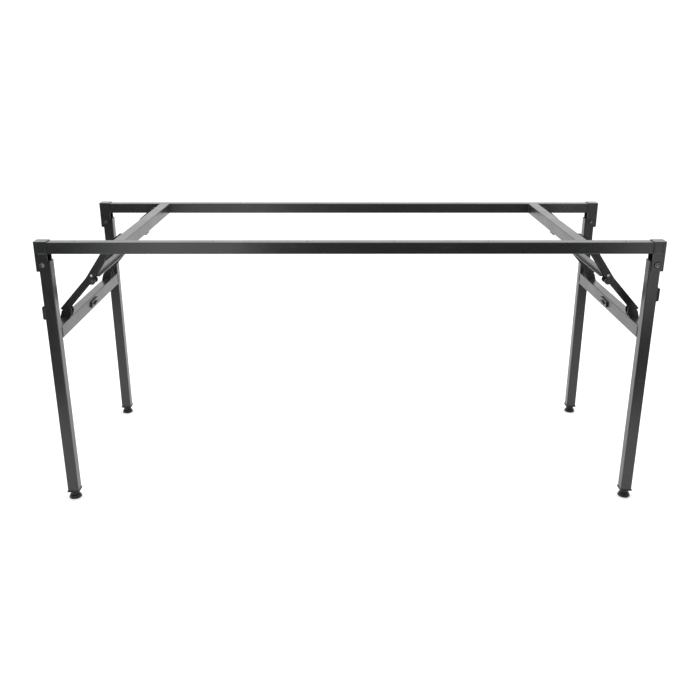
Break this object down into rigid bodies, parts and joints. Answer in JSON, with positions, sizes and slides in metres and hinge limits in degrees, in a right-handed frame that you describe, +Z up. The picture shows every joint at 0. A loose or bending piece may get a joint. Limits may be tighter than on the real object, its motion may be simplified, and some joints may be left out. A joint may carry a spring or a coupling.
{
  "type": "folding table frame",
  "caption": "Rectangular folding table frame of square steel tube on two fold-in leg frames, each held by hinged braces with a release bar, with levelling feet.",
  "frame": {"origin": "on the floor under the middle of the frame's outline, legs open", "axes": "+X along the frame's length, +Y from front to rear, +Z up"},
  "size_m": [1.601, 0.6312, 0.734],
  "materials": {
    "frame_paint": "satin powder coat",
    "leg_paint": "satin powder coat",
    "brace_paint": "satin powder coat",
    "release_paint": "satin powder coat",
    "bright_zinc": "zinc plated",
    "black_zinc": "black zinc plated",
    "black_plastic": "moulded matte",
    "black_rubber": "moulded matte",
    "black_spring": "black oxide"
  },
  "bodies": {
    "top_frame": {"front_rail": "frame_paint", "rear_rail": "frame_paint", "left_cross_rail": "frame_paint", "right_cross_rail": "frame_paint", "front_left_corner_bracket": "frame_paint", "front_left_brace_bracket": "brace_paint", "rear_left_corner_bracket": "frame_paint", "rear_left_brace_bracket": "brace_paint", "front_right_corner_bracket": "frame_paint", "front_right_brace_bracket": "brace_paint", "rear_right_corner_bracket": "frame_paint", "rear_right_brace_bracket": "brace_paint", "hinge_bolts": "black_zinc", "hinge_nuts": "black_zinc", "brace_top_rivets": "black_zinc", "hinge_washers": "bright_zinc", "latch_tabs": "frame_paint"},
    "left_leg_frame": {"front_left_leg": "leg_paint", "rear_left_leg": "leg_paint", "left_crossbar": "leg_paint", "left_leg_bushes": "bright_zinc", "left_leg_caps": "black_plastic", "left_leg_end_plugs": "black_plastic", "left_leg_bumpers": "black_rubber", "left_latch_clip": "black_spring", "left_brace_foot_rivets": "black_zinc", "front_left_foot_bracket": "brace_paint", "rear_left_foot_bracket": "brace_paint"},
    "left_upper_brace": {"front_left_upper_link": "brace_paint", "rear_left_upper_link": "brace_paint", "left_release_bar": "release_paint", "left_link_rivets": "black_zinc"},
    "front_left_lower_brace": {"front_left_lower_link": "brace_paint"},
    "front_left_foot": {"front_left_foot_pad": "black_plastic", "front_left_foot_stud": "bright_zinc"},
    "rear_left_lower_brace": {"rear_left_lower_link": "brace_paint"},
    "rear_left_foot": {"rear_left_foot_pad": "black_plastic", "rear_left_foot_stud": "bright_zinc"},
    "right_leg_frame": {"front_right_leg": "leg_paint", "rear_right_leg": "leg_paint", "right_crossbar": "leg_paint", "right_leg_bushes": "bright_zinc", "right_leg_caps": "black_plastic", "right_leg_end_plugs": "black_plastic", "right_leg_bumpers": "black_rubber", "right_latch_clip": "black_spring", "right_brace_foot_rivets": "black_zinc", "front_right_foot_bracket": "brace_paint", "rear_right_foot_bracket": "brace_paint"},
    "right_upper_brace": {"front_right_upper_link": "brace_paint", "rear_right_upper_link": "brace_paint", "right_release_bar": "release_paint", "right_link_rivets": "black_zinc"},
    "front_right_lower_brace": {"front_right_lower_link": "brace_paint"},
    "front_right_foot": {"front_right_foot_pad": "black_plastic", "front_right_foot_stud": "bright_zinc"},
    "rear_right_lower_brace": {"rear_right_lower_link": "brace_paint"},
    "rear_right_foot": {"rear_right_foot_pad": "black_plastic", "rear_right_foot_stud": "bright_zinc"}
  },
  "joints": [
    {"name": "left_leg_fold", "type": "hinge", "parent": "top_frame", "child": "left_leg_frame", "pos_m": [-0.782, 0, 0.674], "axis": [0, -1, 0], "range_deg": [0, 90]},
    {"name": "left_upper_brace_fold", "type": "hinge", "parent": "top_frame", "child": "left_upper_brace", "pos_m": [-0.642, 0, 0.695], "axis": [0, 1, 0], "range_deg": [0, 60.6]},
    {"name": "front_left_lower_brace_fold", "type": "hinge", "parent": "left_leg_frame", "child": "front_left_lower_brace", "pos_m": [-0.761, -0.2025, 0.544], "axis": [0, -1, 0], "range_deg": [0, 48]},
    {"name": "front_left_foot_screw", "type": "slide", "parent": "left_leg_frame", "child": "front_left_foot", "axis": [0, 0, -1], "range_m": [0, 0.012]},
    {"name": "rear_left_lower_brace_fold", "type": "hinge", "parent": "left_leg_frame", "child": "rear_left_lower_brace", "pos_m": [-0.761, 0.2025, 0.544], "axis": [0, -1, 0], "range_deg": [0, 48]},
    {"name": "rear_left_foot_screw", "type": "slide", "parent": "left_leg_frame", "child": "rear_left_foot", "axis": [0, 0, -1], "range_m": [0, 0.012]},
    {"name": "right_leg_fold", "type": "hinge", "parent": "top_frame", "child": "right_leg_frame", "pos_m": [0.782, 0, 0.674], "axis": [0, 1, 0], "range_deg": [0, 90]},
    {"name": "right_upper_brace_fold", "type": "hinge", "parent": "top_frame", "child": "right_upper_brace", "pos_m": [0.642, 0, 0.695], "axis": [0, -1, 0], "range_deg": [0, 60.6]},
    {"name": "front_right_lower_brace_fold", "type": "hinge", "parent": "right_leg_frame", "child": "front_right_lower_brace", "pos_m": [0.761, -0.2025, 0.544], "axis": [0, 1, 0], "range_deg": [0, 48]},
    {"name": "front_right_foot_screw", "type": "slide", "parent": "right_leg_frame", "child": "front_right_foot", "axis": [0, 0, -1], "range_m": [0, 0.012]},
    {"name": "rear_right_lower_brace_fold", "type": "hinge", "parent": "right_leg_frame", "child": "rear_right_lower_brace", "pos_m": [0.761, 0.2025, 0.544], "axis": [0, 1, 0], "range_deg": [0, 48]},
    {"name": "rear_right_foot_screw", "type": "slide", "parent": "right_leg_frame", "child": "rear_right_foot", "axis": [0, 0, -1], "range_m": [0, 0.012]}
  ],
  "couplings": [
    {"joint": "left_upper_brace_fold", "follows": "left_leg_fold", "ratio": 0.67206},
    {"joint": "front_left_lower_brace_fold", "follows": "left_leg_fold", "ratio": 0.53245},
    {"joint": "rear_left_lower_brace_fold", "follows": "left_leg_fold", "ratio": 0.53245},
    {"joint": "right_upper_brace_fold", "follows": "right_leg_fold", "ratio": 0.67206},
    {"joint": "front_right_lower_brace_fold", "follows": "right_leg_fold", "ratio": 0.53245},
    {"joint": "rear_right_lower_brace_fold", "follows": "right_leg_fold", "ratio": 0.53245}
  ]
}
